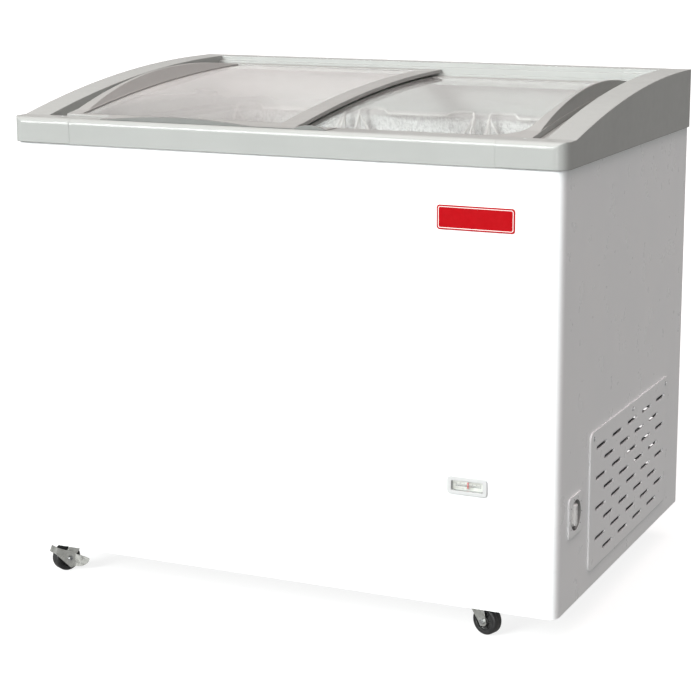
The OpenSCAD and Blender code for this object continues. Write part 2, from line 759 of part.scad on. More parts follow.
module right_lid_rear_bar() color(frame_grey) on_frame() difference() {
    along_x(-right_overlap, lid_outer_x) lid_arc(lower_crown, 1.4, 8, lower_rear_bar_y, lower_back_y);
    right_glass_body();
}

module right_lid_end_bar() color(frame_grey) on_frame() difference() {
    along_x(-right_overlap, end_bar_w - right_overlap)
        lid_arc(lower_crown, 1.4, 8, lower_bar_y, lower_rear_bar_y);
    right_glass_body();
}

module right_lid_grip() color(frame_grey) on_frame() difference() {
    inner_x = lid_outer_x - grip_w;
    web = 60;
    union() {
        along_x(inner_x, lid_outer_x) lid_arc(lower_crown, 1.4, 8, lower_bar_y, lower_rear_bar_y);
        intersection() {
            along_x(inner_x + 2, lid_outer_x - 2) intersection() {
                crescent(lower_crown, 110, 640, right_grip_rise);
                translate([lower_bar_y, 0]) square([lower_rear_bar_y - lower_bar_y, 2 * crown_h]);
            }
            grip_ramp(lower_crown, 1, right_grip_rise - 6);
        }
        intersection() {
            along_x(inner_x - web, inner_x + eps)
                lid_arc(lower_crown, 1.4, 0, lower_bar_y, lower_bar_y + web);
            linear_extrude(2 * crown_h) difference() {
                translate([inner_x - web, lower_bar_y]) square([web + eps, web]);
                translate([inner_x - web, lower_bar_y + web]) circle(web - 1.5, $fn = round_fn);
            }
        }
    }
    right_glass_body();
}

// ---------------------------------------------------------------- baskets

// A tapered tub under a flat rim; the rim rests on the collar at the front and the back
module basket() {
    half = basket_w / 2;
    rim_y = [rail_wall_y + 2, rear_wall_y - 2];
    top_y = [liner_front_y + 6, liner_back_y - 6];
    taper = 26;
    wall = 3;
    module tub(inset, floor_t) {
        top = seat_z + 4;
        low = seat_z + floor_t - basket_h;
        in = inset + taper;
        hull() {
            box([inset - half + 3, top_y[0] + inset, top - 0.01],
                [half - 3 - inset, top_y[1] - inset, top]);
            box([in - half + 3, top_y[0] + in, low], [half - 3 - in, top_y[1] - in, low + 0.01]);
        }
    }
    difference() {
        union() {
            tub(0, 0);
            box([-half, rim_y[0], seat_z + gap], [half, rim_y[1], seat_z + 4]);
        }
        tub(wall, wall);
        box([wall + 3 - half, top_y[0] + wall, seat_z + 3.9],
            [half - wall - 3, top_y[1] - wall, seat_z + 10]);
    }
}

module left_basket() color("white") on_frame() translate([-basket_pitch - 6, 0, 0]) basket();

module middle_basket() color("white") on_frame() translate([-6, 0, 0]) basket();

module right_basket() color("white") on_frame() translate([basket_pitch - 6, 0, 0]) basket();

// ---------------------------------------------------------------- casters

// Swivel centre, yaw of the wheel's heading, for each caster. Heading 0 rolls along +X.
function caster_at(front, left) = [left ? -caster_left_x : caster_right_x,
    front ? caster_inset - cabinet_d / 2 : cabinet_d / 2 - caster_inset];

trail = 18;
plate_t = 2.5;
race_r = 20;
pin_r = 5;
fork_top_z = caster_h - 8 - gap;
leg_x = wheel_w / 2 + 2;
leg_t = 2;
brake_t = 2;
brake_y = -leg_x - leg_t / 2 - gap;

module caster_frame(front, left, yaw) {
    c = caster_at(front, left);
    translate([c[0], c[1], 0]) rotate([0, 0, yaw]) children();
}

module caster_plates() color(zinc)
    for (front = [true, false]) for (left = [true, false]) caster_frame(front, left, 0) difference() {
        union() {
            translate([-34, -32, caster_h + sheet_t - plate_t]) cube([68, 64, plate_t]);
            translate([0, 0, caster_h - 8]) cylinder(r = race_r, h = 7.5, $fn = round_fn);
        }
        translate([0, 0, caster_h - 20]) cylinder(r = pin_r + 0.05, h = 19, $fn = round_fn);
        for (sx = [-1, 1]) for (sy = [-1, 1])
            translate([25 * sx, 23 * sy, 0]) cylinder(r = bolt_r, h = 100, $fn = small_fn);
    }

// Seen along the heading: a round crown, two tapered legs and the king pin
module fork() {
    difference() {
        union() {
            translate([0, 0, fork_top_z - 4]) cylinder(r = race_r - 2, h = 4, $fn = round_fn);
            for (s = [-1, 1]) along_y(s * leg_x - leg_t / 2, s * leg_x + leg_t / 2)
                polygon([[-race_r + 6, fork_top_z], [race_r - 8, fork_top_z], [race_r - 10, fork_top_z - 8],
                    [8 - trail, wheel_r - 6], [-trail, wheel_r - 9], [-8 - trail, wheel_r - 5],
                    [-race_r - 2, fork_top_z - 14]]);
            translate([0, 0, fork_top_z - 1]) cylinder(r = pin_r, h = 7, $fn = round_fn);
        }
        translate([-trail, 0, wheel_r]) rotate([90, 0, 0])
            cylinder(r = axle_r, h = 60, center = true, $fn = small_fn);
    }
}

// Bolt through both legs; its head stands off by the brake's thickness where there is one
module axle(brake_t) translate([-trail, 0, wheel_r]) rotate([90, 0, 0]) {
    outer = leg_x + leg_t / 2;
    translate([0, 0, -outer - 5]) cylinder(r = axle_r, h = 2 * outer + brake_t + 7, $fn = small_fn);
    translate([0, 0, outer + brake_t]) cylinder(r = 5, h = 3, $fn = small_fn);
    translate([0, 0, -outer - 4]) cylinder(r = 5, h = 4, $fn = 6);
}

module wheel() translate([-trail, 0, wheel_r]) rotate([90, 0, 0]) rotate_extrude($fn = round_fn) polygon([
    [axle_r + 0.05, -wheel_w / 2], [9, -wheel_w / 2], [10, 2 - wheel_w / 2], [wheel_r - 6, 2 - wheel_w / 2],
    [wheel_r - 5, -wheel_w / 2], [wheel_r - 2, -wheel_w / 2], [wheel_r, 2 - wheel_w / 2],
    [wheel_r, wheel_w / 2 - 2], [wheel_r - 2, wheel_w / 2], [wheel_r - 5, wheel_w / 2],
    [wheel_r - 6, wheel_w / 2 - 2], [10, wheel_w / 2 - 2], [9, wheel_w / 2], [axle_r + 0.05, wheel_w / 2]
]);

// Headings of the four casters
yaw_front_left = 62;
yaw_front_right = 162;
yaw_rear_left = 160;
yaw_rear_right = 25;

module front_left_fork() color(zinc) caster_frame(true, true, yaw_front_left) fork();

module front_right_fork() color(zinc) caster_frame(true, false, yaw_front_right) fork();

module rear_left_fork() color(zinc) caster_frame(false, true, yaw_rear_left) fork();

module rear_right_fork() color(zinc) caster_frame(false, false, yaw_rear_right) fork();

module front_left_wheel() color(near_black) caster_frame(true, true, yaw_front_left) wheel();

module front_right_wheel() color(near_black) caster_frame(true, false, yaw_front_right) wheel();

module rear_left_wheel() color(near_black) caster_frame(false, true, yaw_rear_left) wheel();

module rear_right_wheel() color(near_black) caster_frame(false, false, yaw_rear_right) wheel();

module front_left_axle() color(zinc) caster_frame(true, true, yaw_front_left) axle(brake_t + 2 * gap);

module front_right_axle() color(zinc) caster_frame(true, false, yaw_front_right) axle(0);

module rear_left_axle() color(zinc) caster_frame(false, true, yaw_rear_left) axle(0);

module rear_right_axle() color(zinc) caster_frame(false, false, yaw_rear_right) axle(0);

// Foot brake: a plate that turns on the axle, outside the leg, with a shoe over the tyre and a pedal
module brake_lever() color(zinc) caster_frame(true, true, yaw_front_left)
    translate([-trail, brake_y, wheel_r]) difference() {
        union() {
            along_y(-brake_t, 0) polygon([[-30, 14], [-25, 25], [-10, 18], [4, 14],
                [12, 7], [12, -17], [0, -18], [-14, -3]]);
            along_y(-brake_t, 22) polygon([[-30, 14], [-25, 25], [-23.2, 24.1], [-28.2, 13.1]]);
            translate([11, 0, 0]) rotate([0, 0, -38]) along_y(-brake_t, 0)
                polygon([[0, 7], [20, 0], [27, -4], [25, -9], [20, -14], [12, -18], [0, -17]]);
        }
        rotate([90, 0, 0]) cylinder(r = axle_r + 0.05, h = 20, center = true, $fn = small_fn);
    }

outer_wrapper();
back_panel();
base_pan();
inner_liner();
foam_insulation();
rim_collar();
front_rail();
rear_rail();
left_end_cap();
right_end_cap();
panel_screws();
vent_panel();
dial_plate();
thermostat_body();
thermostat_knob();
thermometer_bezel();
thermometer_scale();
thermometer_lens();
thermometer_pointer();
front_badge();
compressor();
compressor_grommets();
mounting_bolts();
compressor_tray();
condenser();
fan_motor();
fan_bracket();
fan_blade();
starter_box();
filter_drier();
refrigerant_pipes();
evaporator_tube();
cord_gland();
left_lid_glass();
left_lid_front_bar();
left_lid_rear_bar();
left_lid_grip();
left_lid_end_bar();
right_lid_glass();
right_lid_front_bar();
right_lid_rear_bar();
right_lid_grip();
right_lid_end_bar();
left_basket();
middle_basket();
right_basket();
caster_plates();
front_left_fork();
front_right_fork();
rear_left_fork();
rear_right_fork();
front_left_wheel();
front_right_wheel();
rear_left_wheel();
rear_right_wheel();
front_left_axle();
front_right_axle();
rear_left_axle();
rear_right_axle();
brake_lever();
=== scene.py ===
"""Chest freezer with sliding glass lids: the looks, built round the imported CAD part."""

import json
import math

import bmesh
import bpy
from mathutils import Matrix, Vector

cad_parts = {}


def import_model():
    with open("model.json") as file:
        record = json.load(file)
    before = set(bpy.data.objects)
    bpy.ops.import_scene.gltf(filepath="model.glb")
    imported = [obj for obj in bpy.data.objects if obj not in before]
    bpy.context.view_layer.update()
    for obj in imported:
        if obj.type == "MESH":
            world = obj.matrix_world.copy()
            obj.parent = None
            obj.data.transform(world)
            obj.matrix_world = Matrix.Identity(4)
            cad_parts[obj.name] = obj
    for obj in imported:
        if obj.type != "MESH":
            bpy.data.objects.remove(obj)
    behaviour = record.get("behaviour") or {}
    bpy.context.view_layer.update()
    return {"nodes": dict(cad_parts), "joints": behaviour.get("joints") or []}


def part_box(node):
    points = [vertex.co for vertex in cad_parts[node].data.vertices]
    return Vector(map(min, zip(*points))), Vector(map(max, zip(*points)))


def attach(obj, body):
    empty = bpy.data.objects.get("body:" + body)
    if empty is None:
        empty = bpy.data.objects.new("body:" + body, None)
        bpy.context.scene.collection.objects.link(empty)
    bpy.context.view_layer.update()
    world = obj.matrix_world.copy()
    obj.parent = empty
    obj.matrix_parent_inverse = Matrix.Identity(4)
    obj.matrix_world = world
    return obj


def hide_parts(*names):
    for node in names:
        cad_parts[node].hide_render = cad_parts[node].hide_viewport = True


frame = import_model()
nodes = frame["nodes"]

MM = 0.001
NOISE_LOW, NOISE_HIGH = 0.3, 0.7  # nearly all of a noise texture's values lie between these
WELD_DISTANCE = 2e-6              # joins the split vertices of a carried-over node


def joint_place(name):
    """Where the named joint sits at rest."""
    return Vector(next(j for j in frame["joints"] if j["name"] == name)["pos_m"])


# ---------------------------------------------------------------- materials

def shader(name, colour, roughness, metallic=0.0, **sockets):
    """A Principled material; sockets are given by name with underscores for spaces."""
    mat = bpy.data.materials.new(name)
    mat.use_nodes = True
    tree = mat.node_tree
    bsdf = tree.nodes["Principled BSDF"]
    bsdf.inputs["Base Color"].default_value = (*colour, 1.0)
    bsdf.inputs["Roughness"].default_value = roughness
    bsdf.inputs["Metallic"].default_value = metallic
    for key, value in sockets.items():
        bsdf.inputs[key.replace("_", " ")].default_value = value
    return mat, tree, bsdf


def object_coordinates(tree, scale=(1.0, 1.0, 1.0)):
    """A point's place in its own object, stretched along each axis."""
    place = tree.nodes.new("ShaderNodeTexCoord")
    mapping = tree.nodes.new("ShaderNodeMapping")
    mapping.inputs["Scale"].default_value = scale
    tree.links.new(place.outputs["Object"], mapping.inputs["Vector"])
    return mapping.outputs["Vector"]


def noise(tree, scale, detail=2.0, roughness=0.5, distortion=0.0, stretch=(1.0, 1.0, 1.0)):
    node = tree.nodes.new("ShaderNodeTexNoise")
    node.inputs["Scale"].default_value = scale
    node.inputs["Detail"].default_value = detail
    node.inputs["Roughness"].default_value = roughness
    node.inputs["Distortion"].default_value = distortion
    tree.links.new(object_coordinates(tree, stretch), node.inputs["Vector"])
    return node.outputs["Fac"]


def cells(tree, scale):
    """A random level for each cell of a Voronoi texture."""
    node = tree.nodes.new("ShaderNodeTexVoronoi")
    node.inputs["Scale"].default_value = scale
    tree.links.new(object_coordinates(tree), node.inputs["Vector"])
    return node.outputs["Color"]


def remap(tree, value, low, high, to_low, to_high):
    """The value carried from one range to another, and kept inside it."""
    node = tree.nodes.new("ShaderNodeMapRange")
    node.inputs["From Min"].default_value = low
    node.inputs["From Max"].default_value = high
    node.inputs["To Min"].default_value = to_low
    node.inputs["To Max"].default_value = to_high
    tree.links.new(value, node.inputs["Value"])
    return node.outputs["Result"]


def tint(tree, bsdf, value, dark, light, low=NOISE_LOW, high=NOISE_HIGH):
    """Base colour that wanders between two colours as value goes from low to high."""
    ramp = tree.nodes.new("ShaderNodeValToRGB")
    ramp.color_ramp.elements[0].position = low
    ramp.color_ramp.elements[0].color = (*dark, 1.0)
    ramp.color_ramp.elements[1].position = high
    ramp.color_ramp.elements[1].color = (*light, 1.0)
    tree.links.new(value, ramp.inputs["Fac"])
    tree.links.new(ramp.outputs["Color"], bsdf.inputs["Base Color"])


def roughen(tree, bsdf, value, smooth, rough):
    """Roughness that wanders between two levels with value."""
    level = remap(tree, value, NOISE_LOW, NOISE_HIGH, smooth, rough)
    tree.links.new(level, bsdf.inputs["Roughness"])


def worn_edges(tree, radius):
    """The normal that an edge rounded to that radius would have."""
    node = tree.nodes.new("ShaderNodeBevel")
    node.samples = 6
    node.inputs["Radius"].default_value = radius
    return node.outputs["Normal"]


def bump(tree, bsdf, value, strength, distance, under=None):
    """Relief from value, on top of the normal called under if there is one."""
    node = tree.nodes.new("ShaderNodeBump")
    node.inputs["Strength"].default_value = strength
    node.inputs["Distance"].default_value = distance
    tree.links.new(value, node.inputs["Height"])
    if under is not None:
        tree.links.new(under, node.inputs["Normal"])
    tree.links.new(node.outputs["Normal"], bsdf.inputs["Normal"])
    return node.outputs["Normal"]


def painted_steel(name, edge=0.0):
    """White powder coat: a faint orange peel, with barely uneven gloss."""
    mat, tree, bsdf = shader(name, (0.9, 0.91, 0.93), 0.3, Specular_IOR_Level=0.25,
                             Coat_Weight=0.12, Coat_Roughness=0.12)
    tint(tree, bsdf, noise(tree, 6.0, 3.0), (0.885, 0.9, 0.92), (0.915, 0.922, 0.935))
    roughen(tree, bsdf, noise(tree, 25.0, 4.0), 0.26, 0.36)
    under = worn_edges(tree, edge) if edge else None
    bump(tree, bsdf, noise(tree, 90.0, 1.0), 0.01, 0.2 * MM, under)
    return mat


def frame_plastic(name, dark, light, gloss, edge):
    """Moulded plastic with a fine grain under a clear gloss. Its edges are shaded as if rounded to
    the radius given by edge."""
    mat, tree, bsdf = shader(name, light, 0.55, Specular_IOR_Level=0.2,
                             Coat_Weight=gloss, Coat_Roughness=0.03)
    tint(tree, bsdf, noise(tree, 12.0, 4.0), dark, light)
    roughen(tree, bsdf, noise(tree, 60.0, 3.0), 0.52, 0.66)
    grain = bump(tree, bsdf, noise(tree, 900.0, 2.0), 0.05, 0.1 * MM, worn_edges(tree, edge))
    tree.links.new(grain, bsdf.inputs["Coat Normal"])
    return mat


def white_plastic(name, colour=(0.88, 0.885, 0.88), roughness=0.32, edge=0.0):
    """Smooth pale plastic, a little uneven in tone and gloss."""
    mat, tree, bsdf = shader(name, colour, roughness)
    tint(tree, bsdf, noise(tree, 40.0, 3.0), tuple(0.965 * c for c in colour), colour)
    roughen(tree, bsdf, noise(tree, 120.0), roughness - 0.05, roughness + 0.07)
    under = worn_edges(tree, edge) if edge else None
    bump(tree, bsdf, noise(tree, 1600.0), 0.08, 0.1 * MM, under)
    return mat


def stucco_aluminium():
    """Embossed aluminium: a random pebble of 4 to 5 mm over a finer one."""
    mat, tree, bsdf = shader("stucco_aluminium", (0.72, 0.725, 0.725), 0.3, 0.45)
    tint(tree, bsdf, noise(tree, 9.0, 3.0), (0.69, 0.695, 0.695), (0.74, 0.74, 0.738))
    roughen(tree, bsdf, noise(tree, 300.0, 2.0), 0.2, 0.38)
    coarse = bump(tree, bsdf, noise(tree, 230.0, 1.5, 0.45, 1.4), 0.9, 3.0 * MM)
    bump(tree, bsdf, noise(tree, 520.0, 2.0, 0.5, 0.8), 0.3, 1.0 * MM, coarse)
    return mat


def galvanised():
    """Zinc coated sheet: pale spangle in flakes of about 12 mm."""
    flakes = 85.0
    mat, tree, bsdf = shader("galvanised_steel", (0.6, 0.61, 0.62), 0.42, 0.9)
    tint(tree, bsdf, cells(tree, flakes), (0.5, 0.51, 0.525), (0.68, 0.69, 0.7), 0.1, 0.9)
    roughen(tree, bsdf, cells(tree, flakes), 0.34, 0.5)
    bump(tree, bsdf, noise(tree, 260.0, 3.0), 0.08, 0.3 * MM)
    return mat


def zinc_plate(name, dark=(0.47, 0.48, 0.46), light=(0.66, 0.67, 0.65), roughness=0.3):
    """Bright zinc plate with cloudy tarnish and fine scratches."""
    mat, tree, bsdf = shader(name, light, roughness, 1.0)
    tint(tree, bsdf, noise(tree, 90.0, 5.0, 0.6), dark, light)
    roughen(tree, bsdf, noise(tree, 160.0, 4.0), roughness - 0.08, roughness + 0.14)
    scratches = noise(tree, 700.0, 3.0, 0.5, 0.0, (1.0, 1.0, 0.15))
    bump(tree, bsdf, scratches, 0.12, 0.2 * MM)
    return mat


def dark_finish(name, dark, light, roughness, metallic=0.0, grain=500.0, depth=0.3 * MM, **sockets):
    """Rubber, enamel, ink and the like: cloudy tone and gloss over a grain of that scale."""
    mat, tree, bsdf = shader(name, light, roughness, metallic, **sockets)
    tint(tree, bsdf, noise(tree, 110.0, 4.0), dark, light)
    roughen(tree, bsdf, noise(tree, 70.0, 4.0), roughness - 0.08, roughness + 0.12)
    bump(tree, bsdf, noise(tree, grain, 3.0), 0.2, depth)
    return mat


def lid_glass(name, tone, reflection_at_front, reflection_at_back):
    """Toughened glass with an uneven milky layer mixed in, denser towards the back: a painted
    reflection of the pale studio.
    Lamps pass straight through it, as a lamp's light does through a thin pane."""
    mat = bpy.data.materials.new(name)
    mat.use_nodes = True
    tree = mat.node_tree
    tree.nodes.clear()
    out = tree.nodes.new("ShaderNodeOutputMaterial")
    glass = tree.nodes.new("ShaderNodeBsdfPrincipled")
    glass.inputs["Base Color"].default_value = (*tone, 1.0)
    glass.inputs["Roughness"].default_value = 0.02
    glass.inputs["IOR"].default_value = 1.5
    glass.inputs["Transmission Weight"].default_value = 1.0
    # the milky layer: a painted reflection of the pale studio, laid over the glass
    painted_reflection = tree.nodes.new("ShaderNodeBsdfPrincipled")
    painted_reflection.inputs["Base Color"].default_value = (0.62, 0.6, 0.595, 1.0)
    painted_reflection.inputs["Roughness"].default_value = 0.25
    clear = tree.nodes.new("ShaderNodeBsdfTransparent")
    clear.inputs["Color"].default_value = (0.94, 0.95, 0.95, 1.0)
    split = tree.nodes.new("ShaderNodeSeparateXYZ")
    tree.links.new(object_coordinates(tree), split.inputs[0])
    reflection_front_y, reflection_back_y = -280 * MM, 50 * MM
    depth = remap(tree, split.outputs["Y"], reflection_front_y, reflection_back_y, reflection_at_front, reflection_at_back)
    cloud = remap(tree, noise(tree, 7.0, 3.0, 0.55, 0.6), NOISE_LOW, NOISE_HIGH, 0.75, 1.2)
    amount = tree.nodes.new("ShaderNodeMath")
    amount.operation = "MULTIPLY"
    tree.links.new(depth, amount.inputs[0])
    tree.links.new(cloud, amount.inputs[1])
    glass_and_reflection = tree.nodes.new("ShaderNodeMixShader")
    tree.links.new(amount.outputs[0], glass_and_reflection.inputs["Fac"])
    tree.links.new(glass.outputs[0], glass_and_reflection.inputs[1])
    tree.links.new(painted_reflection.outputs[0], glass_and_reflection.inputs[2])
    path = tree.nodes.new("ShaderNodeLightPath")
    lamp = tree.nodes.new("ShaderNodeMixShader")
    tree.links.new(path.outputs["Is Shadow Ray"], lamp.inputs["Fac"])
    tree.links.new(glass_and_reflection.outputs[0], lamp.inputs[1])
    tree.links.new(clear.outputs[0], lamp.inputs[2])
    tree.links.new(lamp.outputs[0], out.inputs["Surface"])
    return mat


def clear_plastic():
    """The thermometer's window."""
    mat, tree, bsdf = shader("window_plastic", (0.96, 0.98, 0.98), 0.04,
                             IOR=1.46, Transmission_Weight=1.0)
    roughen(tree, bsdf, noise(tree, 300.0), 0.02, 0.07)
    return mat


PAINT = painted_steel("white_paint")
PANEL_PAINT = painted_steel("panel_paint", 2.4 * MM)
FRAME_GREYS = ((0.358, 0.368, 0.36), (0.378, 0.388, 0.38))
TRIM = frame_plastic("frame_grey_plastic", *FRAME_GREYS, 0.35, 0.8 * MM)
CAP_TRIM = frame_plastic("cap_grey_plastic", *FRAME_GREYS, 0.35, 3.0 * MM)
LID_TRIM = frame_plastic("lid_grey_plastic", (0.325, 0.325, 0.318), (0.347, 0.347, 0.34),
                         0.2, 2.2 * MM)
# painted shade: a darker grey for the lips at the front of the left lid
LIP_PAINTED_SHADE = frame_plastic("lip_painted_shade_plastic", (0.18, 0.186, 0.18), (0.205, 0.21, 0.205),
                         0.2, 0.8 * MM)
COLLAR = frame_plastic("collar_plastic", (0.36, 0.347, 0.342), (0.4, 0.387, 0.382), 0.1, 0.8 * MM)
WHITE = white_plastic("white_plastic")
KNOB_WHITE = white_plastic("knob_plastic", (0.93, 0.93, 0.93), 0.26, 6.0 * MM)
# painted shade: dark grey for the wall of the dish round the knob
DISH_PAINTED_SHADE = white_plastic("dish_painted_shade_plastic", (0.27, 0.27, 0.27), 0.5)
BEZEL_WHITE = white_plastic("bezel_plastic", (0.53, 0.535, 0.54), 0.4, 1.5 * MM)
LINER = stucco_aluminium()
GALVANISED = galvanised()
ZINC = zinc_plate("zinc_plate")
SCREW = zinc_plate("screw_steel", (0.38, 0.39, 0.4), (0.62, 0.63, 0.64), 0.26)
BOLT = dark_finish("dark_bolts", (0.05, 0.05, 0.055), (0.13, 0.13, 0.14), 0.4, 0.8)
TYRE = dark_finish("tyre_rubber", (0.008, 0.008, 0.009), (0.022, 0.022, 0.023), 0.42, 0.0, 900.0)
HUB = dark_finish("hub_plastic", (0.012, 0.012, 0.013), (0.03, 0.03, 0.03), 0.3, 0.0, 1200.0)
RUBBER = dark_finish("black_rubber", (0.012, 0.012, 0.012), (0.03, 0.03, 0.03), 0.6, 0.0, 800.0)
DARK_PLASTIC = dark_finish("dark_plastic", (0.05, 0.05, 0.055), (0.09, 0.09, 0.1), 0.5)
IRON = dark_finish("black_enamel", (0.012, 0.012, 0.014), (0.03, 0.03, 0.032), 0.25, 0.1, 240.0)
FIN_METAL = zinc_plate("fin_aluminium", (0.5, 0.51, 0.53), (0.72, 0.73, 0.75), 0.36)
FAN_PLASTIC = white_plastic("fan_plastic", (0.6, 0.61, 0.63), 0.45)
COPPER = zinc_plate("copper_tube", (0.5, 0.24, 0.14), (0.75, 0.42, 0.27), 0.28)
FOAM = dark_finish("yellow_foam", (0.55, 0.45, 0.26), (0.72, 0.62, 0.4), 0.9, 0.0, 300.0, 2.0 * MM)
BADGE = dark_finish("red_enamel", (0.36, 0.003, 0.006), (0.4, 0.004, 0.008), 0.4, 0.0,
                    300.0, 0.05 * MM, Specular_IOR_Level=0.06)
WIRE = white_plastic("wire_coating", (0.6, 0.585, 0.575), 0.35)
POINTER = dark_finish("red_pointer", (0.6, 0.02, 0.02), (0.75, 0.03, 0.03), 0.35)
INK = dark_finish("printed_ink", (0.05, 0.05, 0.06), (0.1, 0.1, 0.11), 0.5)
CARD = white_plastic("scale_card", (0.86, 0.85, 0.8), 0.55)
# the last two numbers: how strong the painted reflection is at the front and at the back of each
# lid
LEFT_GLASS = lid_glass("upper_lid_glass", (0.95, 0.96, 0.955), 0.16, 0.4)
RIGHT_GLASS = lid_glass("lower_lid_glass", (0.98, 0.985, 0.98), 0.0, 0.14)
WINDOW = clear_plastic()


# ---------------------------------------------------------------- shapes

def finish_piece(bm, name, material, body, replaced=(), bevel=0.0, smooth_angle=35.0):
    """Turns a bmesh in the row frame into a piece that rides on a body."""
    bmesh.ops.recalc_face_normals(bm, faces=bm.faces)
    mesh = bpy.data.meshes.new(name)
    bm.to_mesh(mesh)
    bm.free()
    piece = bpy.data.objects.new(name, mesh)
    bpy.context.scene.collection.objects.link(piece)
    mesh.materials.append(material)
    if bevel:
        add_bevel(piece, bevel)
    mesh.shade_smooth()
    mesh.set_sharp_from_angle(angle=math.radians(smooth_angle))
    if replaced:
        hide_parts(*replaced)
    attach(piece, body)
    return piece


def add_bevel(piece, width, segments=2):
    edge = piece.modifiers.new("soft_edges", "BEVEL")
    edge.width = width
    edge.segments = segments
    edge.limit_method = "ANGLE"
    edge.angle_limit = math.radians(40.0)
    edge.harden_normals = True


def dress(node, material, bevel=0.0, segments=2):
    """Material for a carried-over CAD node, and a bevel on its edges if one is given. The vent
    panel, the trims and the knob have none: their materials shade the edges as rounded."""
    piece = nodes[node]
    piece.data.materials.clear()
    piece.data.materials.append(material)
    if bevel:
        weld = piece.modifiers.new("weld", "WELD")
        weld.merge_threshold = WELD_DISTANCE
        add_bevel(piece, bevel, segments)


def second_material(node, material, chosen):
    """A second material on the faces of a CAD node that chosen(centre, normal) picks."""
    piece = nodes[node]
    piece.data.materials.append(material)
    for face in piece.data.polygons:
        if chosen(face.center, face.normal):
            face.material_index = 1


def full_turn(count, first=0.0):
    """Angles evenly spaced round a full turn, starting that many steps on."""
    return [2 * math.pi * (k + first) / count for k in range(count)]


def tube(bm, points, radius, sides=10, closed=False):
    """A round wire along points, with its section carried round each bend."""
    points = [Vector(p) for p in points]
    count = len(points)
    rings = []
    side = None
    for i, here in enumerate(points):
        before = points[i - 1] if i or closed else here
        after = points[(i + 1) % count] if i < count - 1 or closed else here
        along = (after - before).normalized()
        if side is None:
            side = along.orthogonal().normalized()
        side = (side - along * side.dot(along)).normalized()
        up = along.cross(side)
        rings.append([
            bm.verts.new(here + radius * (math.cos(a) * side + math.sin(a) * up))
            for a in full_turn(sides)
        ])
    pairs = list(zip(rings, rings[1:]))
    if closed:
        # the last ring joins the first with the least twist
        first, last = rings[0], rings[-1]
        turn = min(range(sides), key=lambda t: sum(
            (last[k].co - first[(k + t) % sides].co).length for k in range(sides)))
        pairs.append((last, first[turn:] + first[:turn]))
    for a, b in pairs:
        for k in range(sides):
            bm.faces.new((a[k], a[(k + 1) % sides], b[(k + 1) % sides], b[k]))
    if not closed:
        bm.faces.new(rings[0][::-1])
        bm.faces.new(rings[-1])


def rounded_path(corners, radius, steps=5, closed=False):
    """The corners joined by straight runs, each corner turned into an arc of that radius."""
    corners = [Vector(c) for c in corners]
    count = len(corners)
    path = []
    for i, corner in enumerate(corners):
        if not closed and i in (0, count - 1):
            path.append(corner)
            continue
        to_before = corners[i - 1] - corner
        to_after = corners[(i + 1) % count] - corner
        most = 0.45  # of a straight run, so that the arcs at its two ends never meet
        reach = min(radius, most * to_before.length, most * to_after.length)
        a = corner + to_before.normalized() * reach
        b = corner + to_after.normalized() * reach
        for k in range(steps + 1):
            t = k / steps
            path.append(a * (1 - t) ** 2 + corner * 2 * t * (1 - t) + b * t ** 2)
    return path


def lathe(bm, profile, segments, place):
    """The profile, pairs of (radius, height), turned about local Z and put at place. It is closed
    on itself, or by discs where its ends are on the axis."""
    rings = []
    for radius, height in profile:
        if radius == 0:
            rings.append([bm.verts.new(place @ Vector((0, 0, height)))])
        else:
            rings.append([
                bm.verts.new(place @ Vector((radius * math.cos(a), radius * math.sin(a), height)))
                for a in full_turn(segments)
            ])
    ends_on_axis = len(rings[0]) == 1 and len(rings[-1]) == 1
    pairs = list(zip(rings, rings[1:]))
    if not ends_on_axis:
        pairs.append((rings[-1], rings[0]))
    for a, b in pairs:
        for k in range(segments):
            n = (k + 1) % segments
            if len(a) == 1:
                bm.faces.new((a[0], b[n], b[k]))
            elif len(b) == 1:
                bm.faces.new((a[k], a[n], b[0]))
            else:
                bm.faces.new((a[k], a[n], b[n], b[k]))


def slab(bm, outline, place, thickness):
    """A flat outline in local XY, with that thickness up local Z."""
    low = [bm.verts.new(place @ Vector((x, y, 0))) for x, y in outline]
    high = [bm.verts.new(place @ Vector((x, y, thickness))) for x, y in outline]
    bm.faces.new(low[::-1])
    bm.faces.new(high)
    count = len(outline)
    for k in range(count):
        n = (k + 1) % count
        bm.faces.new((low[k], low[n], high[n], high[k]))


def rounded_outline(width, height, radius, steps=8):
    """A rectangle about the origin with rounded corners."""
    points = []
    for cx, cy, start in ((1, 1, 0), (-1, 1, 90), (-1, -1, 180), (1, -1, 270)):
        for k in range(steps + 1):
            a = math.radians(start + 90 * k / steps)
            points.append((cx * (width / 2 - radius) + radius * math.cos(a),
                           cy * (height / 2 - radius) + radius * math.sin(a)))
    return points


def facing(position, x_axis, y_axis, z_axis):
    """The placement whose local axes point along these directions."""
    turn = Matrix((Vector(x_axis), Vector(y_axis), Vector(z_axis))).transposed().to_4x4()
    return Matrix.Translation(Vector(position)) @ turn


def islands(node):
    """Lowest and highest corner of each separate solid of a CAD node."""
    mesh = nodes[node].data
    leader = list(range(len(mesh.vertices)))
    by_place = {}

    def find(i):
        while leader[i] != i:
            leader[i] = leader[leader[i]]
            i = leader[i]
        return i

    for v in mesh.vertices:
        key = tuple(round(c, 6) for c in v.co)
        if key in by_place:
            leader[find(v.index)] = find(by_place[key])
        else:
            by_place[key] = v.index
    for e in mesh.edges:
        leader[find(e.vertices[0])] = find(e.vertices[1])
    boxes = {}
    for v in mesh.vertices:
        low, high = boxes.setdefault(find(v.index), (v.co.copy(), v.co.copy()))
        for k in range(3):
            low[k] = min(low[k], v.co[k])
            high[k] = max(high[k], v.co[k])
    return sorted(boxes.values(), key=lambda b: tuple(round(c, 4) for c in b[0]))


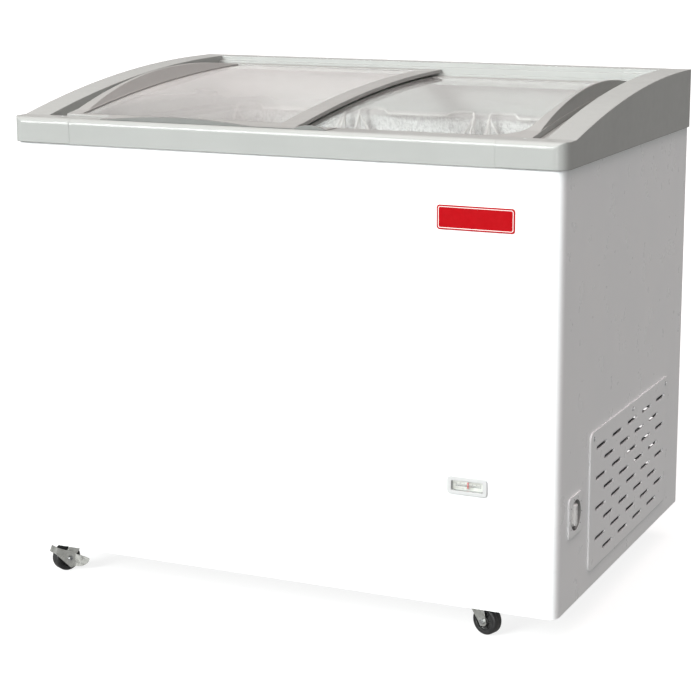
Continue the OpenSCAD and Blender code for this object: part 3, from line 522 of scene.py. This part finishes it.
def screw_head(bm, place, radius, height, shank_r, shank_l, segments=48, rings=12):
    """A domed head with a cross recess, seat at local z = 0, and its shank below."""
    slot_half = 0.13 * radius
    slot_reach = 0.52 * radius
    slot_depth = 0.62 * height
    fall = 0.8  # how much of the dome's height is lost at its rim, before the root

    def surface(r, a):
        dome = height * math.sqrt(1 - fall * (r / radius) ** 2)
        x, y = abs(r * math.cos(a)), abs(r * math.sin(a))
        in_slot = (x < slot_half and y < slot_reach) or (y < slot_half and x < slot_reach)
        return dome - (slot_depth if in_slot else 0.0)

    top = bm.verts.new(place @ Vector((0, 0, surface(0, 0))))
    grid = []
    for i in range(1, rings + 1):
        r = radius * i / rings
        grid.append([
            bm.verts.new(place @ Vector((r * math.cos(a), r * math.sin(a), surface(r, a))))
            for a in full_turn(segments, 0.5)
        ])
    for r, z in ((radius, 0), (shank_r, 0), (shank_r, -shank_l)):
        grid.append([
            bm.verts.new(place @ Vector((r * math.cos(a), r * math.sin(a), z)))
            for a in full_turn(segments, 0.5)
        ])
    for k in range(segments):
        bm.faces.new((top, grid[0][k], grid[0][(k + 1) % segments]))
    for a, b in zip(grid, grid[1:]):
        for k in range(segments):
            n = (k + 1) % segments
            bm.faces.new((a[k], b[k], b[n], a[n]))
    bm.faces.new(grid[-1])


# ---------------------------------------------------------------- cabinet and frame

dress("outer_wrapper", PAINT)
dress("vent_panel", PANEL_PAINT)
dress("back_panel", GALVANISED)
dress("base_pan", GALVANISED)
dress("compressor_tray", GALVANISED)
dress("inner_liner", LINER)
dress("foam_insulation", FOAM)
dress("rim_collar", COLLAR)
dress("front_rail", TRIM)
dress("rear_rail", TRIM)
for side in ("left", "right"):
    dress(f"{side}_end_cap", CAP_TRIM)
    dress(f"{side}_lid_front_bar", LID_TRIM)
    dress(f"{side}_lid_rear_bar", LID_TRIM)
    dress(f"{side}_lid_end_bar", LID_TRIM)
    dress(f"{side}_lid_grip", LID_TRIM)
# the lens-shaped lips stand out from the front of the left lid's bar; their faces get a darker
# grey, a painted shade
lip_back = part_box("left_lid_front_bar")[0].y + 5.5 * MM
second_material("left_lid_front_bar", LIP_PAINTED_SHADE,
                lambda centre, normal: centre.y < lip_back and normal.y < 0.5)
dress("left_lid_glass", LEFT_GLASS)
dress("right_lid_glass", RIGHT_GLASS)
dress("dial_plate", PANEL_PAINT)
# the wall of the dish that the knob sits in is coloured dark grey, a painted shade in the recess
# round the knob
dial = joint_place("thermostat_knob_turn")
dish_radius = 27 * MM
second_material("dial_plate", DISH_PAINTED_SHADE, lambda centre, normal:
                abs(normal.x) < 0.6 and (centre - dial).yz.length < dish_radius)
dress("thermostat_knob", KNOB_WHITE)
dress("thermostat_body", DARK_PLASTIC, 0.8 * MM)
dress("thermometer_bezel", BEZEL_WHITE)
dress("thermometer_scale", CARD)
dress("thermometer_lens", WINDOW)
dress("thermometer_pointer", POINTER, 0.2 * MM)
dress("front_badge", BADGE, 0.4 * MM, 3)
dress("cord_gland", RUBBER, 0.8 * MM)
dress("compressor", IRON)
dress("compressor_grommets", RUBBER, 1.0 * MM)
dress("starter_box", DARK_PLASTIC, 1.0 * MM)
dress("condenser", FIN_METAL)
dress("fan_motor", DARK_PLASTIC, 0.8 * MM)
dress("fan_bracket", GALVANISED)
dress("fan_blade", FAN_PLASTIC)
dress("filter_drier", COPPER)
dress("refrigerant_pipes", COPPER)
dress("evaporator_tube", COPPER)
dress("caster_plates", ZINC, 0.6 * MM)
dress("brake_lever", ZINC, 0.4 * MM)


# ---------------------------------------------------------------- screws and bolts

# radius and height of the head, length of the shank
TOP_SCREW = (3.0 * MM, 1.3 * MM, 6.0 * MM)
PANEL_SCREW = (4.2 * MM, 1.8 * MM, 7.5 * MM)


def panel_screws():
    """Domed screws in the top frame (upright), the vent panel (along X) and the back (along Y)."""
    bm = bmesh.new()
    for low, high in islands("panel_screws"):
        size = high - low
        middle = (low + high) / 2
        upright = size.z > max(size.x, size.y)
        radius, height, shank = TOP_SCREW if upright else PANEL_SCREW
        if upright:
            seat, out, across = (middle.x, middle.y, high.z - height), (0, 0, 1), (1, 0, 0)
        elif size.x > size.y:
            seat, out, across = (high.x - height, middle.y, middle.z), (1, 0, 0), (0, 1, 0)
        else:
            seat, out, across = (middle.x, high.y - height, middle.z), (0, 1, 0), (0, 0, 1)
        third = Vector(out).cross(Vector(across))
        screw_head(bm, facing(seat, across, third, out), radius, height, 0.45 * radius, shank)
    finish_piece(bm, "panel_screw_set", SCREW, "cabinet", ("panel_screws",))


def mounting_bolts():
    """Domed heads under the base and plain shanks above."""
    head_height = 5.0 * MM
    shank_r = 3.95 * MM
    tip_r, tip = 3.4 * MM, 0.6 * MM
    bm = bmesh.new()
    for low, high in islands("mounting_bolts"):
        centre = Vector(((low.x + high.x) / 2, (low.y + high.y) / 2, low.z))
        head_r = (high.x - low.x) / 2
        length = high.z - low.z
        profile = [(0.0, 0.0), (0.5 * head_r, 0.25 * MM), (0.8 * head_r, 1.1 * MM),
                   (0.96 * head_r, 2.4 * MM), (head_r, 4.0 * MM), (head_r, head_height),
                   (shank_r, head_height), (shank_r, length - tip), (tip_r, length), (0.0, length)]
        lathe(bm, profile, 32, Matrix.Translation(centre))
    finish_piece(bm, "domed_bolt_set", BOLT, "cabinet", ("mounting_bolts",))


panel_screws()
mounting_bolts()


# ---------------------------------------------------------------- wire baskets

RIM_WIRE = 2.3 * MM
POST_WIRE = 2.6 * MM
RING_WIRE = 1.8 * MM
THIN_WIRE = 1.4 * MM


def wire_basket(node):
    """Coated wire: an end frame at front and back hooks over the ledges, and the basket's body
    hangs below them on posts and braces."""
    low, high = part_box(node)
    middle = (low + high) / 2
    clearance = RIM_WIRE + 1.0 * MM
    half_x = (high.x - low.x) / 2 - clearance
    half_y = (high.y - low.y) / 2 - clearance
    hook_z = high.z - 3.7 * MM + RIM_WIRE
    hang_z = hook_z - 80 * MM
    floor_z = low.z + 2 * THIN_WIRE
    wall_y = half_y - 19 * MM
    post_x = half_x - 7 * MM
    post_y = wall_y - 2 * MM
    taper = 27 * MM
    upright_to = hook_z - 14 * MM

    def at(x, y, z):
        return (middle.x + x, middle.y + y, z)

    def inset(z):
        """How far the walls have come in at height z; they are upright near the hooks."""
        return taper * max(0.0, (upright_to - z) / (upright_to - floor_z))

    bm = bmesh.new()

    # end frames: foot, knee, post, hook, and the dip in the middle; two braces from each shoulder
    ring_x, ring_y = half_x - inset(hang_z), wall_y - inset(hang_z)
    foot_y = ring_y - 2 * MM
    brace = 44 * MM
    for sy in (1, -1):
        ends = []
        for sx in (-1, 1):
            ends.append([
                at(sx * ring_x, sy * foot_y, hang_z),
                at(sx * post_x, sy * post_y, hang_z + 18 * MM),
                at(sx * post_x, sy * post_y, hook_z),
                at(sx * (post_x - 16 * MM), sy * half_y, hook_z),
                at(sx * (post_x - 46 * MM), sy * half_y, hook_z),
                at(sx * (post_x - 60 * MM), sy * wall_y, hook_z - 6.5 * MM),
            ])
            shoulder = at(sx * post_x, sy * post_y, hook_z - 8 * MM)
            tube(bm, [shoulder, at(sx * (ring_x - brace), sy * foot_y, hang_z)], POST_WIRE, 10)
            tube(bm, [shoulder, at(sx * ring_x, sy * (ring_y - brace), hang_z)], POST_WIRE, 10)
        tube(bm, rounded_path(ends[0] + ends[1][::-1], 7 * MM, 6), RIM_WIRE, 12)

    # rings round the body, the top one thicker
    corners = ((1, -1), (1, 1), (-1, 1), (-1, -1))
    for below in (0, 46 * MM, 92 * MM, 138 * MM):
        z = hang_z - below
        ring = [at(sx * (half_x - inset(z)), sy * (wall_y - inset(z)), z) for sx, sy in corners]
        wire = RING_WIRE if below else RIM_WIRE
        tube(bm, rounded_path(ring, 14 * MM, 6, True), wire, 10, True)

    # hoops across the body and runs along it
    floor_x, floor_y = half_x - taper, wall_y - taper
    bend = 12 * MM
    hoops = 11
    for k in range(hoops):
        y = (floor_y - 8 * MM) * (2 * k / (hoops - 1) - 1)
        top = y * ring_y / floor_y
        hoop = [at(ring_x, top, hang_z), at(floor_x, y, floor_z),
                at(-floor_x, y, floor_z), at(-ring_x, top, hang_z)]
        tube(bm, rounded_path(hoop, bend), THIN_WIRE, 8)
    runs = 7
    spread = 1.12
    run_z = floor_z + 2 * THIN_WIRE
    for k in range(runs):
        x = (floor_x - 6 * MM) * (2 * k / (runs - 1) - 1)
        run = [at(x * spread, -ring_y, hang_z), at(x, -floor_y, run_z),
               at(x, floor_y, run_z), at(x * spread, ring_y, hang_z)]
        tube(bm, rounded_path(run, bend), THIN_WIRE, 8)
    finish_piece(bm, f"{node}_wires", WIRE, node, (node,), smooth_angle=60)


for basket_node in ("left_basket", "middle_basket", "right_basket"):
    wire_basket(basket_node)


# ---------------------------------------------------------------- casters

WHEEL_R = 25 * MM
HUB_R = 17 * MM
LEG_Y = 12.5 * MM
LEG_THICK = 2.0 * MM
FORK_TOP = 57.7 * MM


def caster_place(corner):
    """Local frame of a caster, and how far its wheel trails: X along its heading, Z up, origin on
    the floor below the swivel."""
    swivel = joint_place(f"{corner}_swivel_turn")
    hub = joint_place(f"{corner}_wheel_spin")
    heading = swivel - hub
    heading.z = 0
    trail = heading.length
    heading.normalize()
    floor_point = Vector((swivel.x, swivel.y, 0))
    return facing(floor_point, heading, Vector((0, 0, 1)).cross(heading), (0, 0, 1)), trail


def fork(corner):
    """Pressed fork: a crown plate, a ball race above it and two tapered legs with folded edges."""
    place, trail = caster_place(corner)
    bm = bmesh.new()
    crown = [(0.0, 0.0), (17.6, 0.0), (18.0, 0.5), (18.0, 2.6), (16.8, 3.7), (12.0, 4.0),
             (5.0, 4.0), (5.0, 10.6), (4.6, 11.0), (0.0, 11.0)]
    lathe(bm, [(r * MM, z * MM) for r, z in crown], 48,
          place @ Matrix.Translation((0, 0, FORK_TOP - 4 * MM)))
    # leg outline, from the rear of the top round the foot at the axle to the front
    foot = 8.5 * MM
    arc = [(-trail + foot * math.sin(a), WHEEL_R - foot * math.cos(a))
           for a in (math.radians(d) for d in range(-75, 76, 15))]
    rear_x, front_x = -14 * MM, 13.5 * MM
    outline = [(rear_x, FORK_TOP - 2 * MM), (-16.5 * MM, FORK_TOP - 6 * MM),
               (-22 * MM, FORK_TOP - 16 * MM), *arc, (3 * MM, WHEEL_R + 13 * MM),
               (10 * MM, FORK_TOP - 9 * MM), (front_x, FORK_TOP - 5 * MM),
               (front_x, FORK_TOP - 2 * MM)]
    fold = ((13 * MM, FORK_TOP - 4 * MM), (9.6 * MM, FORK_TOP - 9.5 * MM),
            (3 * MM, WHEEL_R + 13.5 * MM))
    for s in (-1, 1):
        side = place @ facing((0, s * LEG_Y + LEG_THICK / 2, 0), (1, 0, 0), (0, 0, 1), (0, -1, 0))
        slab(bm, outline, side, LEG_THICK)
        tube(bm, [place @ Vector((x, s * LEG_Y, z)) for x, z in fold], 1.3 * MM, 10)
    bridge = [(rear_x, -LEG_Y), (front_x, -LEG_Y), (front_x, LEG_Y), (rear_x, LEG_Y)]
    slab(bm, bridge, place @ Matrix.Translation((0, 0, FORK_TOP - 4.2 * MM)), 2.2 * MM)
    finish_piece(bm, f"{corner}_pressed_fork", ZINC, f"{corner}_swivel",
                 (f"{corner}_fork",), 0.35 * MM)


def axle(corner):
    """Cross-recessed axle bolt with a hexagon nut on the inner side. The front left one also holds
    the brake lever, under its head."""
    place, trail = caster_place(corner)
    outer = LEG_Y + LEG_THICK / 2
    lever = 2.6 * MM if corner == "front_left" else 0.0
    radius = 5.0 * MM
    bm = bmesh.new()
    head = place @ facing((-trail, -outer - lever, WHEEL_R), (1, 0, 0), (0, 0, 1), (0, -1, 0))
    screw_head(bm, head, radius, 2.9 * MM, 2.95 * MM, 2 * outer + lever + 4.5 * MM)
    nut = place @ facing((-trail, outer, WHEEL_R), (1, 0, 0), (0, 0, -1), (0, 1, 0))
    hexagon = [(radius * math.cos(a), radius * math.sin(a)) for a in full_turn(6)]
    slab(bm, hexagon, nut, 3.8 * MM)
    finish_piece(bm, f"{corner}_axle_bolt", SCREW, f"{corner}_swivel",
                 (f"{corner}_axle",))


def wheel(corner):
    """Moulded wheel: hub boss, dished web, rim and a tread with two fine grooves."""
    place, trail = caster_place(corner)
    half = [(3.05, 10.5), (8.3, 10.5), (9.0, 10.0), (9.5, 7.6), (10.4, 6.6), (14.6, 6.2),
            (15.6, 6.8), (16.2, 9.2), (17.0, 10.0), (19.2, 10.2), (19.5, 9.7), (20.1, 9.7),
            (20.4, 10.2), (22.2, 9.9), (23.7, 9.1), (24.6, 7.8), (25.0, 6.2), (25.0, 4.4),
            (24.5, 4.1), (24.5, 3.3), (25.0, 3.0)]
    profile = [(r * MM, -z * MM) for r, z in half] + [(r * MM, z * MM) for r, z in half[::-1]]
    bm = bmesh.new()
    lathe(bm, profile, 72, place @ facing((-trail, 0, WHEEL_R), (1, 0, 0), (0, 0, 1), (0, -1, 0)))
    # six stiffening ribs on each web
    centre = place @ Matrix.Translation((-trail, 0, WHEEL_R))
    rib = [(0, -1.7 * MM), (6.2 * MM, -1.7 * MM), (6.2 * MM, 1.0 * MM), (0, 1.7 * MM)]
    rib_thick = 1.6 * MM
    for s in (-1, 1):
        for k in range(6):
            turn = centre @ Matrix.Rotation(math.pi * k / 3, 4, "Y")
            root = Matrix.Translation((9.2 * MM, s * 7.8 * MM, -rib_thick / 2))
            slab(bm, rib, turn @ root, rib_thick)
    piece = finish_piece(bm, f"{corner}_moulded_wheel", TYRE, f"{corner}_wheel",
                         (f"{corner}_wheel",), smooth_angle=28)
    piece.data.materials.append(HUB)
    hub = centre.translation
    across = place.to_3x3() @ Vector((0, 1, 0))
    for face in piece.data.polygons:
        arm = face.center - hub
        arm -= across * arm.dot(across)
        if arm.length < HUB_R:
            face.material_index = 1


for corner_name in ("front_left", "front_right", "rear_left", "rear_right"):
    fork(corner_name)
    axle(corner_name)
    wheel(corner_name)


# ---------------------------------------------------------------- dial, thermometer, badge

PRINT_SINK = 0.02 * MM   # how far a printed mark starts below the surface it is on
PRINT_THICK = 0.15 * MM


def on_front(x, y, z):
    """A placement on a surface that faces the front."""
    return facing((x, y, z), (1, 0, 0), (0, 0, 1), (0, -1, 0))


def on_right_side(x, y, z):
    """A placement on a surface that faces the right side."""
    return facing((x, y, z), (0, 1, 0), (0, 0, 1), (1, 0, 0))


def dial_marks():
    """Eight printed dashes round the dish, and one on the knob's grip."""
    count, sweep = 8, 260
    ring_radius = 30.5 * MM
    sink = 0.1 * MM
    face_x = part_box("dial_plate")[1].x
    knob_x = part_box("thermostat_knob")[1].x
    knob = joint_place("thermostat_knob_turn")
    bm = bmesh.new()
    for k in range(count):
        a = math.radians(-sweep / 2 + sweep * k / (count - 1))
        turn = Matrix.Translation((face_x, knob.y, knob.z)) @ Matrix.Rotation(a, 4, "X")
        slab(bm, rounded_outline(1.1 * MM, 3.6 * MM, 0.5 * MM, 3),
             turn @ on_right_side(-sink, 0, ring_radius), 0.2 * MM)
    finish_piece(bm, "dial_dashes", INK, "cabinet")
    bm = bmesh.new()
    slab(bm, rounded_outline(1.4 * MM, 8 * MM, 0.6 * MM, 3),
         on_right_side(knob_x - sink, knob.y, knob.z + 12 * MM), 0.25 * MM)
    finish_piece(bm, "knob_dash", INK, "thermostat_knob")


def scale_marks():
    """Division lines on the thermometer's card, every fourth one long, over a base line."""
    count = 25
    margin = 6 * MM
    long_line, short_line = 5.0 * MM, 2.8 * MM
    low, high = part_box("thermometer_scale")
    middle = (low + high) / 2
    face_y = low.y + PRINT_SINK
    foot_z = middle.z - 1.5 * MM
    bm = bmesh.new()
    for k in range(count):
        x = low.x + margin + (high.x - low.x - 2 * margin) * k / (count - 1)
        tall = long_line if k % 4 == 0 else short_line
        slab(bm, rounded_outline(0.55 * MM, tall, 0.2 * MM, 2),
             on_front(x, face_y, foot_z + tall / 2), PRINT_THICK)
    slab(bm, rounded_outline(high.x - low.x - 10 * MM, 0.5 * MM, 0.2 * MM, 2),
         on_front(middle.x, face_y, foot_z - 0.5 * MM), PRINT_THICK)
    finish_piece(bm, "thermometer_divisions", INK, "cabinet")


def badge_border():
    """A plain white pinstripe just inside the badge's edge."""
    low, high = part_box("front_badge")
    middle = (low + high) / 2
    width, height = high.x - low.x, high.z - low.z
    inset, line = 2.5 * MM, 1.0 * MM
    place = on_front(middle.x, low.y + PRINT_SINK, middle.z)
    outer = rounded_outline(width - 2 * inset, height - 2 * inset, 3.5 * MM)
    inner = rounded_outline(width - 2 * (inset + line), height - 2 * (inset + line), 2.7 * MM)
    bm = bmesh.new()
    rings = [[bm.verts.new(place @ Vector((x, y, z))) for x, y in outline]
             for outline, z in ((outer, 0), (outer, PRINT_THICK), (inner, PRINT_THICK), (inner, 0))]
    count = len(outer)
    for a, b in zip(rings, rings[1:] + rings[:1]):
        for k in range(count):
            n = (k + 1) % count
            bm.faces.new((a[k], a[n], b[n], b[k]))
    finish_piece(bm, "badge_pinstripe", WHITE, "cabinet")


dial_marks()
scale_marks()
badge_border()


# ---------------------------------------------------------------- stage, camera and lights

def stage():
    """A plain pale sheet under the freezer."""
    mesh = bpy.data.meshes.new("studio_floor")
    reach = 40.0
    corners = [(-reach, -reach, 0), (reach, -reach, 0), (reach, reach, 0), (-reach, reach, 0)]
    mesh.from_pydata(corners, [], [(0, 1, 2, 3)])
    floor = bpy.data.objects.new("studio_floor", mesh)
    bpy.context.scene.collection.objects.link(floor)
    mat, tree, bsdf = shader("floor_paper", (0.3, 0.3, 0.3), 0.9)
    bsdf.inputs["Emission Color"].default_value = (1.0, 1.0, 1.0, 1.0)
    bsdf.inputs["Emission Strength"].default_value = 0.8
    mesh.materials.append(mat)
    # the paper's own glow whitens it, and must not light the freezer from below or show in it
    floor.visible_diffuse = False
    floor.visible_glossy = False


def sun(name, towards, strength, angle, colour):
    """A soft far lamp that stands in the direction towards, seen that many degrees wide."""
    lamp = bpy.data.lights.new(name, "SUN")
    lamp.energy = strength
    lamp.angle = math.radians(angle)
    lamp.color = colour
    thing = bpy.data.objects.new(name, lamp)
    thing.rotation_euler = Vector(towards).to_track_quat("Z", "Y").to_euler()
    bpy.context.scene.collection.objects.link(thing)


def world():
    """Even studio light from all round."""
    sky = bpy.data.worlds.new("studio")
    bpy.context.scene.world = sky
    sky.use_nodes = True
    tree = sky.node_tree
    back = tree.nodes["Background"]
    back.inputs["Color"].default_value = (1.0, 0.99, 0.965, 1.0)
    # reflections see the studio's white walls, which are brighter than its fill light
    fill_light, walls = 0.22, 0.5
    path = tree.nodes.new("ShaderNodeLightPath")
    strength = remap(tree, path.outputs["Is Glossy Ray"], 0.0, 1.0, fill_light, walls)
    tree.links.new(strength, back.inputs["Strength"])


def camera():
    """A long lens, in front of the freezer and to its right, looking a little down."""
    pitch_down, turn_left = 11.66, 23.97
    view = bpy.data.cameras.new("camera")
    view.sensor_width = 36.0
    view.lens = 98.6
    view.shift_x = -0.05
    view.shift_y = -0.05
    view.clip_end = 200.0
    thing = bpy.data.objects.new("camera", view)
    thing.location = (1.4597, -3.1867, 1.1895)
    thing.rotation_euler = (math.radians(90 - pitch_down), 0.0, math.radians(turn_left))
    bpy.context.scene.collection.objects.link(thing)
    bpy.context.scene.camera = thing


stage()
world()
sun("key", (-0.42, -0.8, 0.43), 4.0, 26.0, (0.965, 1.0, 0.985))
sun("fill", (0.3, -0.95, 0.12), 1.2, 30.0, (1.0, 1.0, 0.98))
sun("top", (0.05, -0.1, 1.0), 2.1, 60.0, (1.0, 0.87, 0.85))
camera()
bpy.context.scene.view_settings.view_transform = "Standard"
